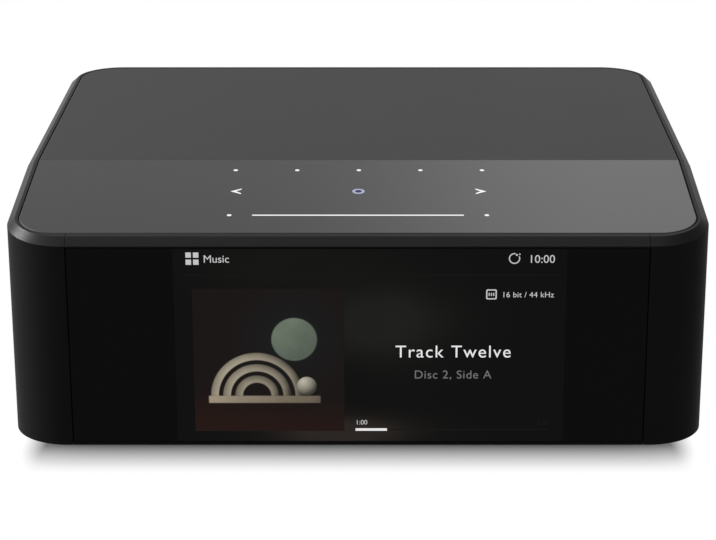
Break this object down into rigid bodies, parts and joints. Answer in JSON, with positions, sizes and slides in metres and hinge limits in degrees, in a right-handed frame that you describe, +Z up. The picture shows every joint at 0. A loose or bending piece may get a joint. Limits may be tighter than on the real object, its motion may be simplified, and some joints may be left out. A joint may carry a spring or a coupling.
{
  "type": "network music streamer",
  "caption": "Low black network music streamer with a wide glass display in front, a sloped touch surface on top and a recessed rear tray of sockets with sprung optical shutters.",
  "frame": {"origin": "centre of the footprint on the table", "axes": "+X to the right seen from the front, +Y to the rear, +Z up"},
  "size_m": [0.22, 0.194, 0.084],
  "materials": {
    "satin_black": "satin black anodised",
    "bezel_black": "satin black anodised",
    "window_glass": "gloss black glass",
    "touch_black": "gloss black glass",
    "cover_black": "matte black",
    "base_black": "textured black",
    "tray_black": "matte black",
    "foot_rubber": "matte",
    "carrier_plastic": "matte",
    "black_plastic": "matte",
    "insert_plastic": "coloured by channel",
    "screw_steel": "plain",
    "socket_steel": "nickel plated",
    "contact_brass": "gold plated",
    "standoff_brass": "plain",
    "board_green": "solder resist",
    "board_brown": "bare laminate",
    "chip_black": "moulded",
    "can_blue": "sleeved",
    "shield_tin": "tinned",
    "sink_black": "black anodised",
    "sink_bare": "plain",
    "coil_copper": "enamelled copper",
    "core_yellow": "taped",
    "flex_film": "film",
    "lead_black": "sheathed",
    "lcd_dark": "dark",
    "guide_clear": "frosted",
    "gasket_foam": "foam",
    "ir_red": "dark red",
    "fuse_glass": "clear"
  },
  "bodies": {
    "root": {"wrap_shell": "satin_black", "front_bezel": "bezel_black", "display_window": "window_glass", "touch_glass": "touch_black", "top_cover": "cover_black", "top_carrier": "carrier_plastic", "base_pan": "base_black", "rubber_feet": "foot_rubber", "foot_screws": "screw_steel", "base_screws": "screw_steel", "carrier_screws": "screw_steel", "rear_tray": "tray_black", "rear_screws": "screw_steel", "display_gasket": "gasket_foam", "lcd_module": "lcd_dark", "display_bracket": "shield_tin", "bracket_screws": "screw_steel", "display_board": "board_green", "display_flex": "flex_film", "ir_receiver": "ir_red", "light_guide": "guide_clear", "touch_board": "board_green", "touch_flex": "flex_film", "main_board": "board_green", "board_standoffs": "standoff_brass", "processor_shield": "shield_tin", "processor_heatsink": "sink_black", "wireless_module": "shield_tin", "antennas": "board_green", "antenna_leads": "lead_black", "analog_board": "board_green", "analog_standoffs": "standoff_brass", "board_link": "black_plastic", "converter_chips": "chip_black", "output_capacitors": "can_blue", "board_screws": "screw_steel", "power_board": "board_brown", "power_transformer": "core_yellow", "power_capacitors": "can_blue", "power_choke": "coil_copper", "power_heatsink": "sink_bare", "fuse": "fuse_glass", "power_harness": "lead_black", "headphone_boards": "board_green", "headphone_socket_left": "black_plastic", "headphone_socket_right": "black_plastic", "mains_inlet": "black_plastic", "inlet_pins": "socket_steel", "network_socket": "socket_steel", "usb_socket": "socket_steel", "video_socket": "socket_steel", "socket_tongues": "black_plastic", "phono_barrels": "contact_brass", "phono_inserts": "insert_plastic", "balanced_shells": "black_plastic", "balanced_pins": "contact_brass", "optical_housings": "black_plastic", "minijack_sockets": "black_plastic"},
    "shutter_in": {"optical_shutter_in": "black_plastic"},
    "shutter_out": {"optical_shutter_out": "black_plastic"}
  },
  "joints": [
    {"name": "shutter_in_hinge", "type": "hinge", "parent": "root", "child": "shutter_in", "pos_m": [0.0232, 0.0854, 0.0275], "axis": [-1, 0, 0], "range_deg": [0, 85], "stiffness_Nm_per_rad": 0.0008, "springref_deg": -11.46},
    {"name": "shutter_out_hinge", "type": "hinge", "parent": "root", "child": "shutter_out", "pos_m": [0.0371, 0.0854, 0.0275], "axis": [-1, 0, 0], "range_deg": [0, 85], "stiffness_Nm_per_rad": 0.0008, "springref_deg": -11.46}
  ]
}
